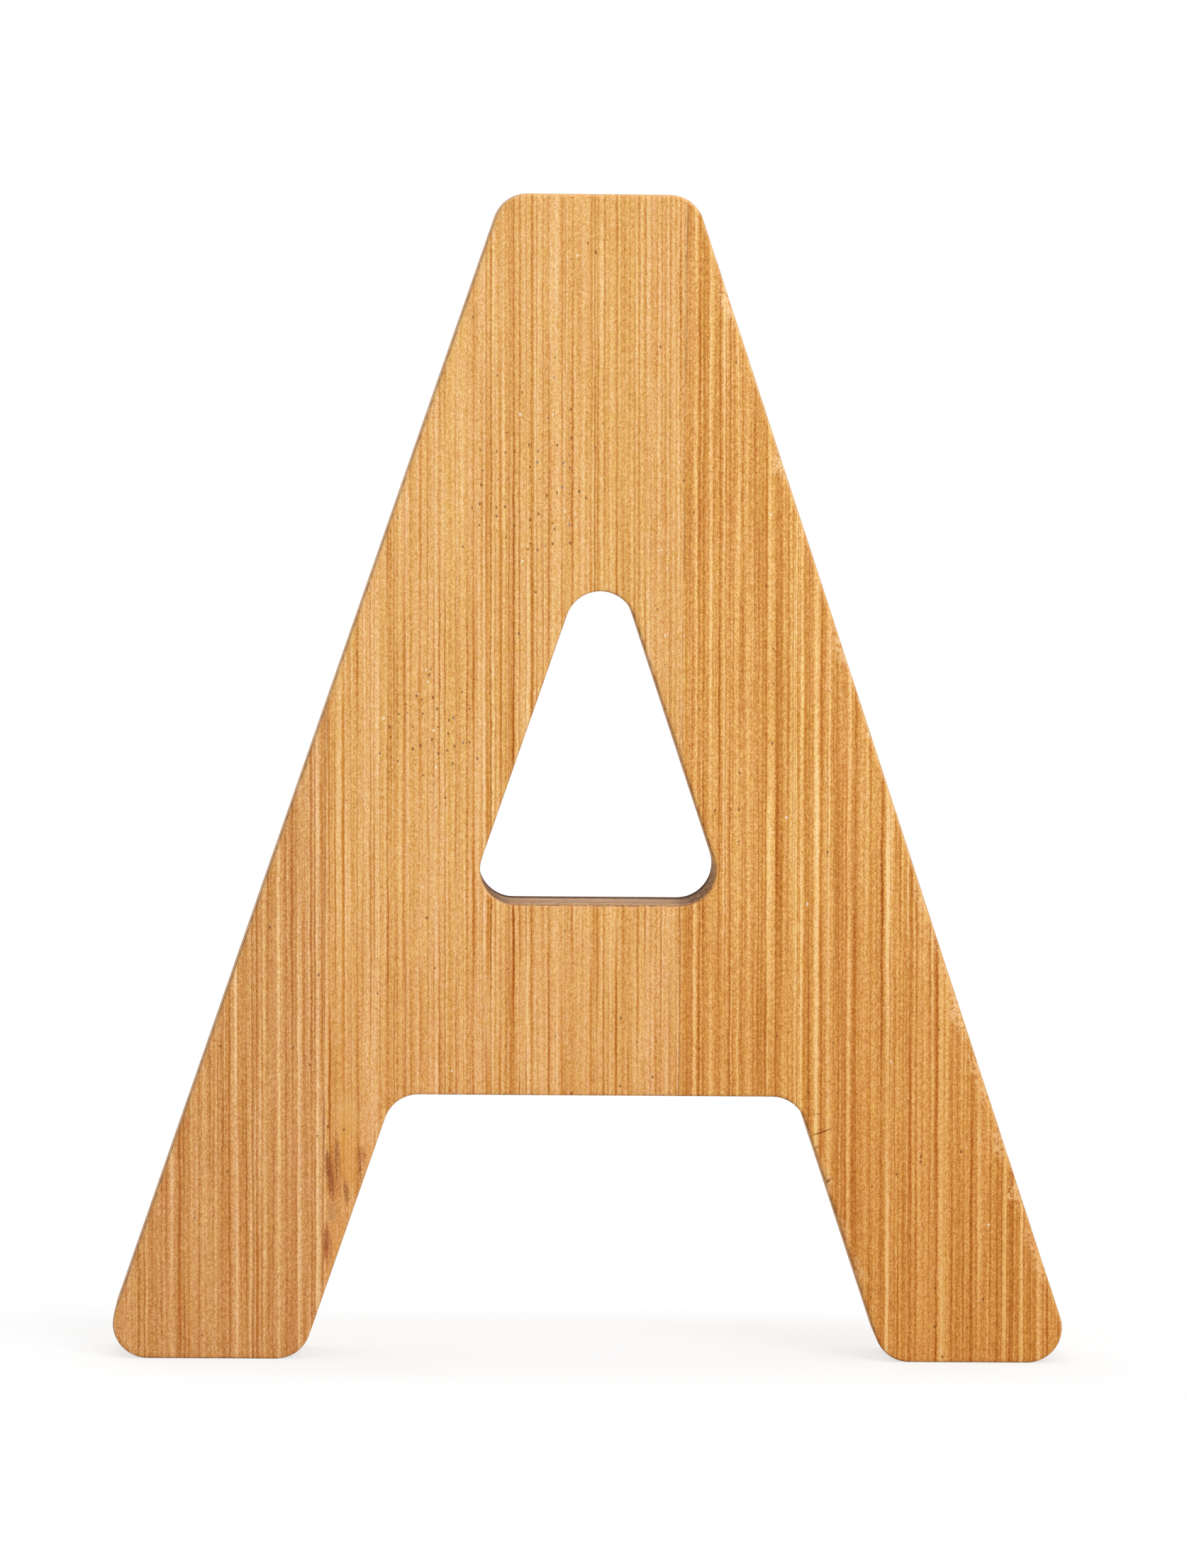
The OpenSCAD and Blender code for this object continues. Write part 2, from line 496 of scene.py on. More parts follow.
@dataclass
class Look:
    """What one strip looks like. Places across the letter and heights are in millimetres."""

    tones: tuple
    # Common tone from 0 to 1, and strengths of the streaks and of the fibre lines
    tone: float = 0.52
    contrast: float = 1.0
    lines: float = 1.05
    # Heights under which the lines are broken, and from which lines and dark streaks are weaker
    broken_below: float = 0
    calm_above: float = LETTER_H / MM
    # Tint of its lower end, partly its own colour and partly painted shade, and colour of its cut walls
    low_end: tuple = (0.94, 0.88, 0.8, 1)
    wall: tuple = FRONT_WALL
    # Places of the streaks, and places with more specks, each as x, z and half its width and height
    bright: tuple = ()
    pale: tuple = ()
    dark: tuple = ()
    bands: tuple = ()
    speckled: tuple = ()


@dataclass
class Streak:
    """A kind of streak along the fibres: half its width in millimetres, and its tone and relief."""

    half_width: float
    tone: float
    relief: float = 0.0
    # Fibre noise that thins it out, the strength that it keeps there, and whether calm wood weakens it
    thinned_by: tuple = ()
    least: float = 1.0
    calms: bool = False


BRIGHT_STREAK = Streak(0.22, tone=0.16, thinned_by=(0.6, 1, 4.0), least=0.4)
PALE_STREAK = Streak(0.13, tone=0.24, relief=0.3, thinned_by=(0.9, 1, 6.0), least=0.3)
DARK_STREAK = Streak(0.08, tone=-0.22, relief=-0.3, thinned_by=(1.1, 2, 8.0), least=0.3, calms=True)
BAND = Streak(0.35, tone=-0.1)


class Mark:
    """A streak, crack or stain on the face that runs from one place (x, z) to another, in millimetres."""

    def __init__(self, colour, start, end, half_width, strength, broken=True):
        run = Vector(end) - Vector(start)
        self.colour = colour
        self.centre = ((start[0] + end[0]) / 2, 0, (start[1] + end[1]) / 2)
        self.turn = math.atan2(run.y, run.x)
        self.half_size = (run.length / 2, 1, half_width)
        self.strength = strength
        self.broken = broken


class Bamboo(Shader):
    """Sanded bamboo with fibres along an axis of the letter, at its real scale in millimetres.

    A fibre noise is given as changes in a millimetre across the fibres, octaves, and changes in a run.
    A remap is given as a low and a high value, and the shares that they become.
    """

    # Length along the fibres that is one run
    RUN = 60
    # How far the fibres lean for each millimetre, and how far and often they wander and fray to the side
    LEAN = 0.009
    WANDER = 0.1
    WANDER_PER_MM = (0.8, 0.8, 0.4)
    FUZZ = 0.045
    FUZZ_PER_MM = (9.0, 9.0, 7.0)
    GRAIN_PER_MM = (13.0, 13.0, 9.0)
    # Heights over which lines turn from broken to whole and from strong to calm, and their calm strength
    BROKEN_EASE = (-2, 4)
    CALM_EASE = 14
    CALM = 0.6
    # Slope, from 0 on a wall to 1 on a face, over which the wall ends
    WALL_END = (0.05, 0.3)

    def __init__(self, name, look, seed, fibres_run="Z"):
        super().__init__(name)
        self.look = look
        self.seed = seed
        coordinates = self.add("ShaderNodeTexCoord").outputs
        self.place = self.scaled(coordinates["Object"], (1 / MM, 1 / MM, 1 / MM))
        self.x, self.y, self.z = self.split(self.place)
        self.normal_x, normal_y, self.normal_z = self.split(coordinates["Normal"])
        self.slope = self.absolute(normal_y)
        self.wall = self.fall(self.slope, *self.WALL_END)
        across, self.along = (self.x, self.z) if fibres_run == "Z" else (self.z, self.x)
        wander = self.noise(self.scaled(self.place, self.WANDER_PER_MM), octaves=2)
        fuzz = self.noise(self.scaled(self.place, self.FUZZ_PER_MM), octaves=2)
        self.across = self.total(
            across, self.product(self.along, self.LEAN), -self.LEAN * LETTER_H / MM / 2,
            *self.weighted((wander, self.WANDER), (fuzz, self.FUZZ)))
        self.fibre_place = self.vector(self.across, self.y, self.along)
        self.run = self.product(self.along, 1 / self.RUN)
        self.grain = self.noise(self.scaled(self.place, self.GRAIN_PER_MM), octaves=2)
        low, high = self.BROKEN_EASE
        self.broken = self.fall(self.along, look.broken_below + low, look.broken_below + high)
        calm_from = look.calm_above
        self.calm = self.remap(self.along, calm_from, calm_from + self.CALM_EASE, 1.0, self.CALM)

    # Shifts for each seed and scale, so that no two patterns are alike, and their scale through the board
    NOISE_SHIFTS = (13.7, 5.1)
    NOISE_THROUGH = 0.6
    CELL_SHIFTS = (31.3, 7.7)
    CELL_THROUGH = 0.3

    def shifted(self, per_mm, shifts):
        """Place across the fibres at a scale, with the shifts of a pattern."""
        for_seed, for_scale = shifts
        return self.total(self.product(self.across, per_mm), for_seed * self.seed + for_scale * per_mm)

    def fibre_noise(self, per_mm, octaves=1, runs=1.0):
        """Noise with this many changes in a millimetre across the fibres, and in a run along them."""
        place = self.vector(
            self.shifted(per_mm, self.NOISE_SHIFTS),
            *self.weighted((self.y, self.NOISE_THROUGH * per_mm), (self.run, runs)))
        return self.noise(place, octaves=octaves)

    def fibre_cells(self, per_mm):
        """Bundles of fibres side by side: three random numbers for each, and the distance to its middle."""
        across = self.shifted(per_mm, self.CELL_SHIFTS)
        cell = self.cells(self.vector(across, self.product(self.y, self.CELL_THROUGH * per_mm), 0.0))
        middle = self.split(cell["Position"])[0]
        distance = self.absolute(self.math("SUBTRACT", across, middle))
        return self.split(cell["Color"]), self.product(distance, 1 / per_mm)

    # Share of a line's half width that is solid
    LINE_MIDDLE = 0.3
    # How far apart the fading of two lines is, and the noise over which a line fades
    FADE_SPREAD = 90.0
    FADE = (-0.12, 0.12)
    # Strength of a faded line, and what it loses where the lines are broken
    FADED = 0.5
    BROKEN_LOSS = 0.4

    def fibre_lines(self, per_mm, half_width, fades):
        """0 to 1 on straight lines of uneven place and strength, which fade this often in a run."""
        (strength, phase, _), distance = self.fibre_cells(per_mm)
        line = self.fall(distance, self.LINE_MIDDLE * half_width, half_width)
        fade_place = self.vector(*self.weighted((phase, self.FADE_SPREAD), (self.run, fades)), 0.0)
        least = self.total(self.FADED, self.product(self.broken, -self.BROKEN_LOSS))
        fade = self.remap(self.noise(fade_place), *self.FADE, least, 1.0)
        return self.product(line, strength, self.calm, fade)

    # How many streaks a colour ramp holds, its margin, and the profile of a streak, both in half widths
    STREAKS_IN_RAMP = 7
    RAMP_MARGIN = 2
    STREAK_PROFILE = ((-1, BLACK), (-0.5, WHITE), (0.5, WHITE), (1, BLACK))
    STREAK_THINNING = (-0.2, 0.1)

    def streaks(self, kind, centres):
        """0 to 1 on streaks of a kind at these places across the fibres."""
        result = 0.0
        margin = self.RAMP_MARGIN * kind.half_width
        for first in range(0, len(centres), self.STREAKS_IN_RAMP):
            group = centres[first:first + self.STREAKS_IN_RAMP]
            low = group[0] - margin
            span = group[-1] + margin - low
            stops = [(0.0, BLACK)]
            for centre in group:
                for offset, colour in self.STREAK_PROFILE:
                    stops.append(((centre + offset * kind.half_width - low) / span, colour))
            stops.append((1.0, BLACK))
            share = self.product(self.total(self.across, -low), 1 / span)
            result = self.largest(self.ramp(share, stops), result)
        if kind.thinned_by:
            thinning = self.fibre_noise(*kind.thinned_by)
            result = self.product(result, self.remap(thinning, *self.STREAK_THINNING, kind.least, 1.0))
        if kind.calms:
            result = self.product(result, self.calm)
        return result

    # Share of an ellipse's radius where it starts to fade, and where it ends
    ELLIPSE_RIM = (0.3, 1.0)

    def ellipse(self, centre, half_size, turn=0.0):
        """1 at the middle of an ellipse on the face, easing to 0 at its rim."""
        flat = self.vector(self.x, 0.0, self.z)
        inputs = {"Vector": flat, "Center": centre, "Angle": turn}
        turned = self.add("ShaderNodeVectorRotate", inputs, rotation_type="Y_AXIS").outputs[0]
        offset = self.vector_math("SUBTRACT", turned, centre)[0]
        distance = self.vector_math("LENGTH", self.vector_math("DIVIDE", offset, half_size)[0])["Value"]
        return self.fall(distance, *self.ELLIPSE_RIM)

    # Fibre lines, each kind as lines in a millimetre, half width, and how often they fade in a run
    THIN_LINES = (3.4, 0.055, 6.0)
    WIDE_LINES = (1.5, 0.1, 6.0)
    LIGHT_LINES = (2.1, 0.08, 9.0)
    # Fibre noises of the broad changes in tone and of the single fibres
    BROAD = (0.5, 2)
    FIBRES = (6.0, 2, 3.0)
    # Tone and relief that each adds
    BROAD_TONE = 0.1
    FIBRE_TONE = 0.8
    LIGHT_TONE = 0.2
    GRAIN_TONE = 1.2
    FIBRE_RELIEF = 0.6
    THIN_RELIEF = -0.3
    WIDE_RELIEF = -0.5
    GRAIN_RELIEF = 0.9
    # Hue between yellowish and pinkish: its middle and range, and what bundles and mottling add
    HUE = 0.35
    HUE_RANGE = (0.1, 0.9)
    BUNDLE_HUE = 0.3
    BUNDLE_HUES_PER_MM = 2.4
    MOTTLE_HUE = 2.0
    MOTTLE_PER_MM = (3.0, 3.0, 1.3)

    def wood(self):
        """Colour and relief of the sanded wood."""
        look = self.look
        fibres = self.fibre_noise(*self.FIBRES)
        thin = self.fibre_lines(*self.THIN_LINES)
        wide = self.fibre_lines(*self.WIDE_LINES)
        light = self.fibre_lines(*self.LIGHT_LINES)
        tone = self.total(look.tone, *self.weighted(
            (self.fibre_noise(*self.BROAD), self.BROAD_TONE), (fibres, self.FIBRE_TONE),
            (light, self.LIGHT_TONE), (self.grain, self.GRAIN_TONE)))
        relief = self.total(*self.weighted(
            (fibres, self.FIBRE_RELIEF), (thin, self.THIN_RELIEF), (wide, self.WIDE_RELIEF),
            (self.grain, self.GRAIN_RELIEF)))
        kinds = (
            (PALE_STREAK, look.pale, look.contrast), (BRIGHT_STREAK, look.bright, 1.0),
            (DARK_STREAK, look.dark, 1.0), (BAND, look.bands, look.contrast),
        )
        for kind, centres, contrast in kinds:
            if centres:
                streaks = self.streaks(kind, centres)
                tone = self.total(tone, self.product(streaks, kind.tone * contrast))
                relief = self.total(relief, self.product(streaks, kind.relief))
        bundle = self.fibre_cells(self.BUNDLE_HUES_PER_MM)[0][0]
        mottle = self.noise(self.scaled(self.fibre_place, self.MOTTLE_PER_MM), octaves=3)
        hue = self.total(*self.weighted((bundle, self.BUNDLE_HUE), (mottle, self.MOTTLE_HUE)), self.HUE)
        tint = self.blend(self.remap(hue, *self.HUE_RANGE), YELLOWISH, PINKISH)
        colour = self.tinted(1.0, self.ramp(tone, look.tones), tint)
        colour = self.tinted(self.product(thin, look.lines), colour, THIN_LINE)
        colour = self.tinted(self.product(wide, look.lines), colour, WIDE_LINE)
        return colour, relief

    # Distances over which a seam's glue line fades, and the fibre noise and remap that break it up
    SEAM_RIM = (0.02, 0.07)
    SEAM_NOISE = (1.5, 2, 10.0)
    SEAM_GAPS = (-0.1, 0.15, 0.1, 0.7)

    def seam(self, colour, place):
        """Glue that shows as a thin broken line along a seam."""
        distance = self.absolute(self.total(self.x, -place / MM))
        gaps = self.remap(self.fibre_noise(*self.SEAM_NOISE), *self.SEAM_GAPS)
        return self.blend(self.product(self.fall(distance, *self.SEAM_RIM), gaps), colour, GLUE)

    # Fibre noise and remaps that break up the marks
    MARK_NOISE = (4.0, 2, 14.0)
    MARK_GAPS = (-0.2, 0.0, 0.3, 1.0)
    MARK_GRAIN = (-0.12, 0.15, 1.0, 0.55)

    def marks(self, colour, marks):
        """Streaks, cracks and stains on the face, some of them broken up by the fibres."""
        gaps = self.remap(self.fibre_noise(*self.MARK_NOISE), *self.MARK_GAPS)
        break_up = self.product(gaps, self.remap(self.grain, *self.MARK_GRAIN))
        for mark in marks:
            share = self.product(self.ellipse(mark.centre, mark.half_size, mark.turn), mark.strength)
            if mark.broken:
                share = self.product(share, break_up)
            colour = self.blend(share, colour, mark.colour)
        return colour

    # Cells of the specks in a millimetre across and along, their shift for each seed, and radii in cells
    SPECKS_ACROSS = 2.4
    SPECKS_ALONG = 1.6
    SPECK_SHIFT = 3.7
    SPECK_RADII = (0.06, 0.19)
    # Share of the cells with a pore, in common and speckled places, and flecks for each pore
    PORE_SHARE = 0.02
    SPECKLED_SHARE = 0.55
    FLECKS_PER_PORE = 0.2
    FLECK_STRENGTH = 0.7
    PORE_STRENGTH = 0.8

    def specks(self, colour):
        """Small dark pores and pale flecks scattered over the face, with more in the speckled places."""
        across = self.total(self.product(self.x, self.SPECKS_ACROSS), self.SPECK_SHIFT * self.seed)
        cell = self.cells(self.vector(across, self.product(self.along, self.SPECKS_ALONG), 0.0))
        pore_draw, fleck_draw, size = self.split(cell["Color"])
        share = self.PORE_SHARE
        for x, z, half_x, half_z in self.look.speckled:
            speckled = self.ellipse((x, 0, z), (half_x, 1, half_z))
            share = self.total(self.product(speckled, self.SPECKLED_SHARE), share)
        spot = self.dots(cell, size, self.SPECK_RADII)
        is_fleck = self.math("LESS_THAN", fleck_draw, self.product(share, self.FLECKS_PER_PORE))
        is_pore = self.math("LESS_THAN", pore_draw, share)
        colour = self.blend(self.product(spot, is_fleck, self.FLECK_STRENGTH), colour, DUST)
        return self.blend(self.product(spot, is_pore, self.PORE_STRENGTH), colour, PORE)

    # Fibre bundles on a wall in a millimetre, their radii in cells, and their strength
    BUNDLES_PER_MM = (2.3, 2.3, 2.3)
    BUNDLE_RADII = (0.16, 0.42)
    BUNDLE_STRENGTH = 0.85
    # Share of the wall's own colour, and sanding lines along the wall
    WALL_SHARE = 0.8
    SANDING_PER_MM = (0.3, 4.0, 0.3)
    SANDING_LINES = (-0.12, 0.12, 0.8, 0.0)
    # Saw marks in a millimetre along the wall and through the board, and their slant
    SAW_PER_MM = 5.0
    SAW_THROUGH = 0.4
    SAW_SLANT = 1.2
    SAW_MARKS = (-0.15, 0.15, 0.3, 0.0)
    # Glue lines by the distance from them, and gaps that the saw marks leave in the painted shade of the
    # corners
    GLUE_LINES = (0.04, 0.11, 0.9, 0.0)
    CORNER_SHADE_GAPS = (-0.1, 0.1, 1.0, 0.6)
    # Level walls and the painted shade on the sill, by the way that they face
    LEVEL = (0.6, 0.9)
    SILL_SHADE_UPWARD = (0.1, 0.5)

    def bundles(self):
        """0 to 1 in the dark bundles of fibres, which are dots on end grain and dashes on a slanted cut."""
        cell = self.cells(self.scaled(self.fibre_place, self.BUNDLES_PER_MM))
        return self.dots(cell, self.split(cell["Color"])[0], self.BUNDLE_RADII)

    def saw_marks(self):
        """Noise in slanted lines across the wall."""
        slant = self.product(self.y, self.SAW_SLANT)
        return self.noise(self.vector(
            self.total(self.product(self.x, self.SAW_PER_MM), slant),
            self.product(self.y, self.SAW_THROUGH),
            self.math("SUBTRACT", self.product(self.z, self.SAW_PER_MM), slant)), octaves=2)

    def cut_wall(self, colour):
        """Sawn wall: fibre bundles, sanding lines, saw marks, glue lines and end grain, with painted shade
        in the counter's corners and along the back of its sill.
        """
        sanding = self.noise(self.scaled(self.place, self.SANDING_PER_MM), octaves=2)
        saw_marks = self.saw_marks()
        cut = self.blend(self.WALL_SHARE, colour, self.look.wall)
        cut = self.tinted(self.product(self.bundles(), self.BUNDLE_STRENGTH), cut, WALL_BUNDLE)
        cut = self.tinted(self.remap(sanding, *self.SANDING_LINES), cut, SANDING_LINE)
        cut = self.tinted(self.remap(saw_marks, *self.SAW_MARKS), cut, SAW_MARK)
        from_glue = self.absolute(self.total(self.absolute(self.y), -BACK_GLUE_Y / MM))
        cut = self.tinted(self.remap(from_glue, *self.GLUE_LINES), cut, WALL_GLUE)
        cut = self.tinted(self.remap(self.absolute(self.normal_z), *self.LEVEL), cut, END_GRAIN)
        gaps = self.remap(saw_marks, *self.CORNER_SHADE_GAPS)
        # Painted shade in the counter's lower corners, broken up by the saw marks
        corner_shade = 0.0
        for x, z, reach in SHADED_CORNERS:
            corner = self.ellipse((x, 0, z), (reach, 1, reach))
            corner_shade = self.largest(corner_shade, self.product(corner, gaps))
        cut = self.tinted(corner_shade, cut, PAINTED_SHADE)
        # Painted shade along the back edge of the sill, on upward-facing walls low on the letter
        sill_shade_y = BACK_Y / MM - SILL_SHADE_W
        sill_shade = self.product(
            self.remap(self.y, sill_shade_y - SILL_SHADE_BLUR, sill_shade_y),
            self.remap(self.normal_z, *self.SILL_SHADE_UPWARD), self.fall(self.z, *SILL_SHADE_TOP))
        return self.tinted(sill_shade, cut, SILL_SHADE)

    # Slopes at which the painted highlight on an edge ends, and at which the painted shade starts and ends
    BRIGHT_END = (0.7, 0.99)
    DARK_START = (0.02, 0.15)
    DARK_END = (0.5, 0.85)
    # Noise in a millimetre that breaks up the rims, with its octaves and remaps
    ROUGH_PER_MM = 2.0
    ROUGH_OCTAVES = 3
    BRIGHT_GAPS = (-0.2, 0.15, 0.1, 0.7)
    DARK_GAPS = (-0.12, 0.1, 0.2, 1.0)
    # Remaps of the way an edge faces: where that is upward, and a rim's strength there and at the right
    UPWARD = (0.3, 0.8)
    BRIGHT_UPWARD = (-0.3, 0.0, 0.2, 1.0)
    BRIGHT_RIGHT = (-0.2, 0.3, 0.45, 1.0)
    DARK_UPWARD = (0.0, 1.0, 1.0, 0.3)
    DARK_RIGHT = (-0.1, 0.4, 1.0, 0.25)

    def rims(self, colour):
        """Painted highlight and shade on the edges round the face: lighter where they face right, or up
        high on the letter, and darker elsewhere, most where they face left.
        """
        rough = self.noise(self.place, self.ROUGH_PER_MM, self.ROUGH_OCTAVES)
        topside = self.product(self.remap(self.normal_z, *self.UPWARD), self.remap(self.z, *RIM_HIGHLIGHT_TOP))
        # Painted highlight on edges that face right, or up high on the letter
        bright = self.product(
            self.remap(self.slope, *self.WALL_END), self.fall(self.slope, *self.BRIGHT_END),
            self.remap(rough, *self.BRIGHT_GAPS), self.remap(self.normal_z, *self.BRIGHT_UPWARD),
            self.largest(self.remap(self.normal_x, *self.BRIGHT_RIGHT), topside))
        # Painted shade on edges that face left or down
        dark = self.product(
            self.remap(self.slope, *self.DARK_START), self.fall(self.slope, *self.DARK_END),
            self.remap(self.normal_x, *self.DARK_RIGHT), self.remap(topside, *self.DARK_UPWARD),
            self.remap(rough, *self.DARK_GAPS))
        return self.tinted(dark, self.blend(bright, colour, RIM_HIGHLIGHT), PAINTED_SHADE)

    # Torn fibres: noise in a millimetre, its octaves, and remaps of its high places, which are pale fibres,
    # and its low ones, which get painted shade
    CRUMBS_PER_MM = 4.0
    CRUMB_OCTAVES = 3
    PALE_CRUMBS = (-0.05, 0.1, 0.0, 0.85)
    DARK_CRUMBS = (-0.22, -0.08, 0.75, 0.0)

    def torn_fibres(self, colour):
        """Pale crumbs of torn fibre where the edge is chipped, with painted shade in dark crumbs between
        them.
        """
        torn = self.add("ShaderNodeAttribute", attribute_name="torn").outputs["Fac"]
        crumbs = self.noise(self.place, self.CRUMBS_PER_MM, self.CRUMB_OCTAVES)
        colour = self.blend(self.product(torn, self.remap(crumbs, *self.PALE_CRUMBS)), colour, TORN)
        return self.blend(self.product(torn, self.remap(crumbs, *self.DARK_CRUMBS)), colour, TORN_SHADE)

    # Roughness by the grain, what a wall adds to it, gloss, and the bump of the relief
    ROUGHNESS = (-0.3, 0.3, 0.55, 0.75)
    WALL_ROUGHNESS = 0.35
    GLOSS = 0.12
    BUMP_STRENGTH = 0.6
    BUMP_H = 0.02 * MM

    def finish(self, colour, relief):
        """The material with this colour and relief, a little darker at the lower end of the strip, partly
        its own colour and partly painted shade.
        """
        colour = self.tinted(self.fall(self.z, 0.0, LOW_END_TOP), colour, self.look.low_end)
        roughness = self.total(
            self.remap(self.grain, *self.ROUGHNESS), self.product(self.wall, self.WALL_ROUGHNESS))
        bump = self.add("ShaderNodeBump", {
            "Strength": self.BUMP_STRENGTH, "Distance": self.BUMP_H, "Height": relief,
        })
        surface = self.add("ShaderNodeBsdfPrincipled", {
            "Base Color": colour, "Roughness": roughness, "Normal": bump.outputs[0],
            "Specular IOR Level": self.GLOSS,
        })
        self.add("ShaderNodeOutputMaterial", {"Surface": surface.outputs[0]})
        return self.material


def bamboo(name, look, seed, seams=(), marks=(), fibres_run="Z"):
    """Material of one strip, with its seams and marks on the face, its cut walls and its worn edges, and
    painted highlight and shade on its edges and walls.
    """
    strip = Bamboo(name, look, seed, fibres_run)
    colour, relief = strip.wood()
    for place in seams:
        colour = strip.seam(colour, place)
    if marks:
        colour = strip.marks(colour, marks)
    colour = strip.specks(colour)
    colour = strip.blend(strip.wall, colour, strip.cut_wall(colour))
    # Painted highlight and shade on the edges, then the torn fibres of the chips
    colour = strip.torn_fibres(strip.rims(colour))
    return strip.finish(colour, relief)


# Looks of the front strips, with their streaks from left to right
LEFT_LOOK = Look(
    HONEY, tone=0.56, contrast=0.9, lines=1.26, broken_below=14, low_end=(0.94, 0.89, 0.86, 1),
    bright=(-21.6, -18.2, -14.1),
    pale=(-23.0, -21.7, -20.0, -19.4, -18.4, -17.6, -16.9, -16.2, -15.1, -14.2),
    dark=(-23.4, -22.2, -20.5, -19.9, -18.0, -17.5, -15.8, -14.5),
    bands=(-22.7, -21.3, -18.9, -16.6, -15.4),
)
MIDDLE_LOOK = Look(
    PALE, tone=0.56, contrast=0.3, lines=1.47, broken_below=26, calm_above=34,
    low_end=(0.92, 0.81, 0.78, 1),
    pale=(-12.7, -11.8, -11.1, -9.6, -8.1, -7.6, -5.5, -4.7, -3.5, -1.9, -0.6, 1.3, 2.8, 3.8),
    dark=(-13.4, -12.1, -10.6, -10.4, -10.1, -9.4, -7.4, -6.5, -6.2, -5.3, -4.5, -4.1, -3.2, -2.3, -1.1,
          0.0, 0.2, 0.5, 1.5, 1.8, 3.2, 4.4),
    bands=(-12.2, -10.3, -6.3, -4.3, -1.2, 1.7),
    speckled=((-3.2, 46.4, 4.5, 7.0), (-8.5, 32.5, 3.0, 5.0)),
)
RIGHT_LOOK = Look(
    AMBER, tone=0.55, contrast=0.85, lines=1.092, low_end=(0.87, 0.75, 0.58, 1),
    bright=(11.45, 15.2, 18.0, 21.9),
    pale=(5.2, 6.0, 6.7, 7.3, 9.0, 10.3, 10.7, 11.45, 12.05, 13.1, 15.15, 16.8, 17.5, 18.0, 19.9, 21.2,
          22.1, 23.0),
    dark=(5.4, 5.6, 7.6, 8.8, 9.6, 11.7, 13.4, 14.8, 15.7, 17.7, 19.5, 21.5, 21.9),
    bands=(4.9, 5.6, 6.3, 7.1, 8.5, 9.5, 11.0, 12.65, 13.5, 14.7, 16.4, 18.7, 19.5, 20.9, 21.6, 22.6),
)
CORE_LOOK = Look(CORE_EDGE, wall=CORE_WALL)

# Marks on the front: a stained node on the left leg, and cracks and scuffs on the right one
MIDDLE_MARKS = (
    Mark(SCUFF, (-12.6, 14.0), (-12.4, 11.2), 0.9, 0.45),
    Mark(GOLDEN, (-12.55, 14.0), (-12.35, 8.4), 0.6, 0.6),
    Mark(RED_STAIN, (-13.45, 11.4), (-13.1, 7.8), 0.6, 0.45),
    Mark(STAIN, (-13.6, 11.4), (-13.15, 7.8), 0.26, 1.0),
    Mark(STAIN, (-13.08, 12.0), (-12.86, 8.3), 0.2, 1.0),
    Mark(GREY_STAIN, (-13.35, 8.4), (-13.2, 6.9), 0.4, 0.6),
    Mark(RED_STAIN, (-13.65, 7.7), (-13.4, 4.5), 0.34, 0.95),
    Mark(STAIN, (-13.6, 6.9), (-13.48, 5.4), 0.16, 0.6),
    Mark(STAIN, (-12.65, 9.6), (-12.42, 7.8), 0.2, 0.8),
    Mark(STAIN, (-11.98, 11.6), (-11.75, 8.9), 0.14, 0.9),
    Mark(RED_STAIN, (-11.85, 11.3), (-11.55, 9.9), 0.24, 0.7),
)
RIGHT_MARKS = (
    Mark(SCUFF, (11.85, 10.8), (12.05, 9.3), 0.25, 0.6),
    Mark(CRACK, (11.2, 11.7), (12.65, 12.22), 0.07, 0.9, broken=False),
    Mark(CRACK, (11.2, 12.85), (12.15, 12.92), 0.06, 0.5, broken=False),
    Mark(CRACK, (11.5, 11.07), (11.85, 11.27), 0.07, 0.7, broken=False),
    Mark(CRACK, (11.98, 9.12), (12.58, 9.7), 0.08, 0.9, broken=False),
    Mark(CRACK, (12.0, 9.0), (12.14, 8.6), 0.1, 0.8, broken=False),
    Mark(STAIN, (12.6, 8.3), (12.75, 7.1), 0.13, 0.6),
    Mark(SCUFF, (10.3, 22.5), (10.9, 22.6), 0.35, 0.6),
    Mark(DUST, (9.8, 28.2), (10.0, 28.2), 0.1, 1.0, broken=False),
    Mark(DUST, (20.5, 7.2), (20.7, 7.2), 0.1, 1.0, broken=False),
)

# Back strips: their tones, the mean spacing of their streaks in millimetres, and how uneven it is
BACK_TONES = (AMBER, HONEY, PALE)
BACK_PALE_SPACING = 1.3
BACK_DARK_SPACING = 0.9
BACK_BAND_SPACING = 2.5
UNEVEN = (0.5, 1.5)
# Seeds of the materials, and what is added for each kind of streak on the back
FRONT_SEEDS = (1, 2, 3)
FIRST_BACK_SEED = 4
CORE_SEED = 7
DARK_SEED = 10
BAND_SEED = 20
# Seeds of the worn edges
FRONT_WEAR_SEED = 1
BACK_WEAR_SEED = 2


def random_places(seed, low, high, spacing):
    """Unevenly spaced places from low to high, in millimetres."""
    draw = random.Random(seed)
    places = []
    place = low + spacing * draw.random()
    while place < high:
        places.append(place)
        place += spacing * draw.uniform(*UNEVEN)
    return tuple(places)


def back_look(node, tones, seed):
    """Look of a back strip, with streaks at random places."""
    low_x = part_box(node)[0].x / MM
    high_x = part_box(node)[1].x / MM
    return Look(
        tones,
        pale=random_places(seed, low_x, high_x, BACK_PALE_SPACING),
        dark=random_places(seed + DARK_SEED, low_x, high_x, BACK_DARK_SPACING),
        bands=random_places(seed + BAND_SEED, low_x, high_x, BACK_BAND_SPACING),
        wall=BACK_WALL,
    )


# Floor and light: half the floor's width, and where the shadow under the letter shows and ends, in metres
FLOOR_REACH = 4.0
SHADOW_MIDDLE_Y = 0.002
SHADOW_NEAR = 0.005
SHADOW_FAR = 0.016
# Floor as it lights the letter, and as it is seen near the feet, where it also glows
FLOOR_PAINT = (0.9, 0.9, 0.9, 1)
SHADED_PAINT = (0.28, 0.28, 0.28, 1)
SHADED_GLOW = 0.7
AMBIENT = 0.58
